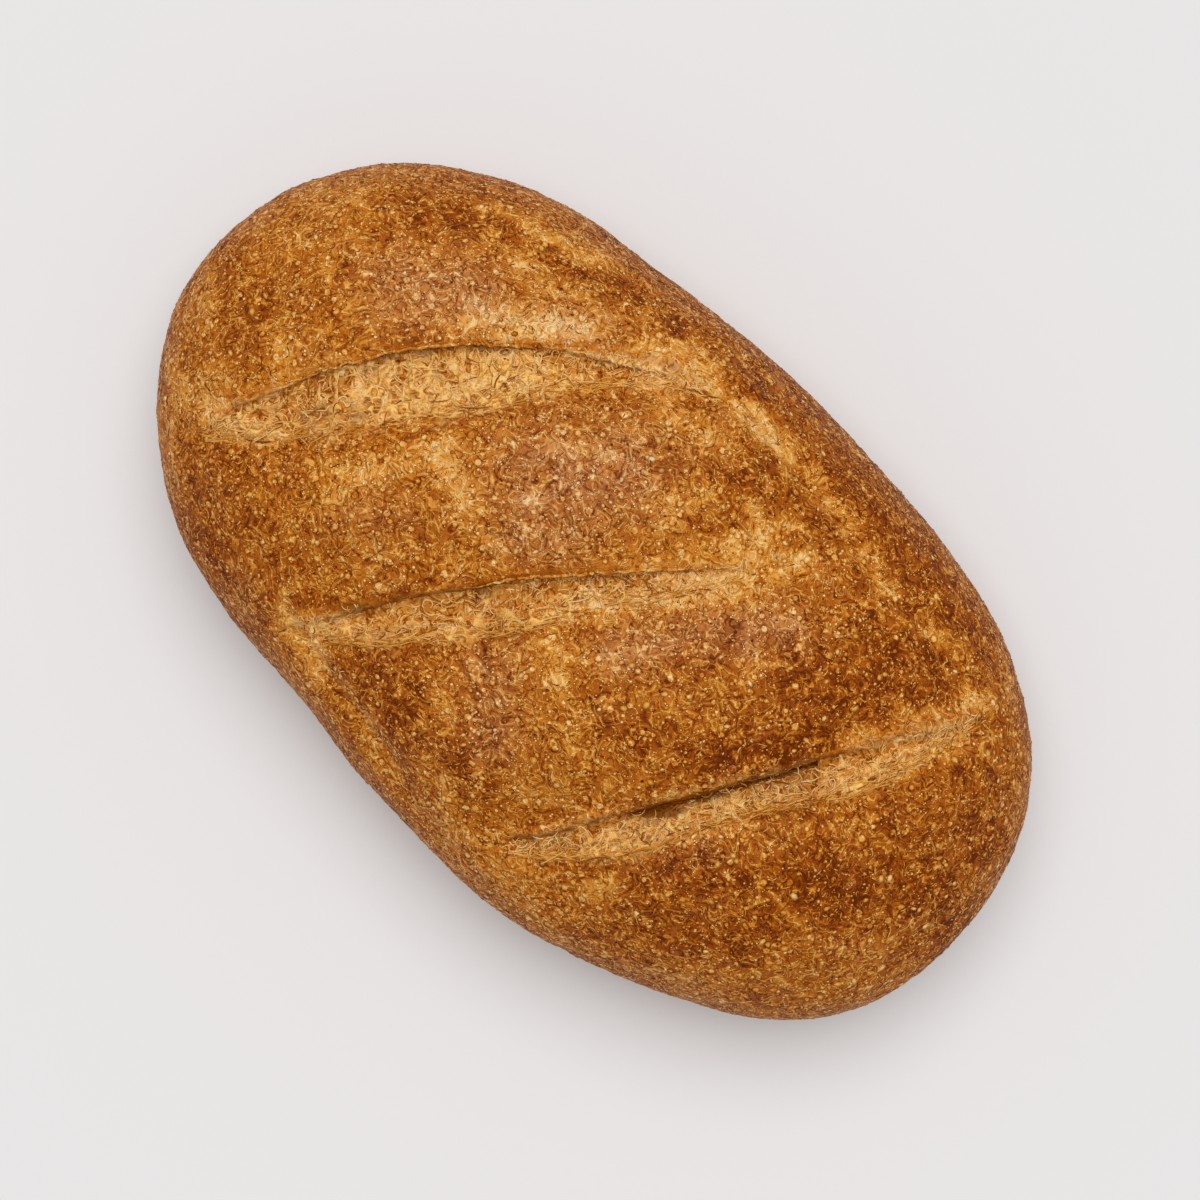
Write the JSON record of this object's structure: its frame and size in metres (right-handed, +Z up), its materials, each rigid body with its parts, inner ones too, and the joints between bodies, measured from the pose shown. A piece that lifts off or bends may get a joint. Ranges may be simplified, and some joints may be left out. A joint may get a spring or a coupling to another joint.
{
  "type": "wholemeal loaf",
  "caption": "Hand-shaped oval wholemeal loaf with a domed mottled crust, a flat hearth side and slanting cuts that opened along its top.",
  "frame": {"origin": "on the flat underside, below the middle of the loaf's box", "axes": "+X along the loaf, +Y across it, +Z up out of the crown"},
  "size_m": [0.29, 0.169, 0.09],
  "materials": {
    "crust": "matte baked wholemeal crust, golden brown with pale bran flecks"
  },
  "bodies": {
    "root": {"loaf": "crust"}
  },
  "joints": []
}
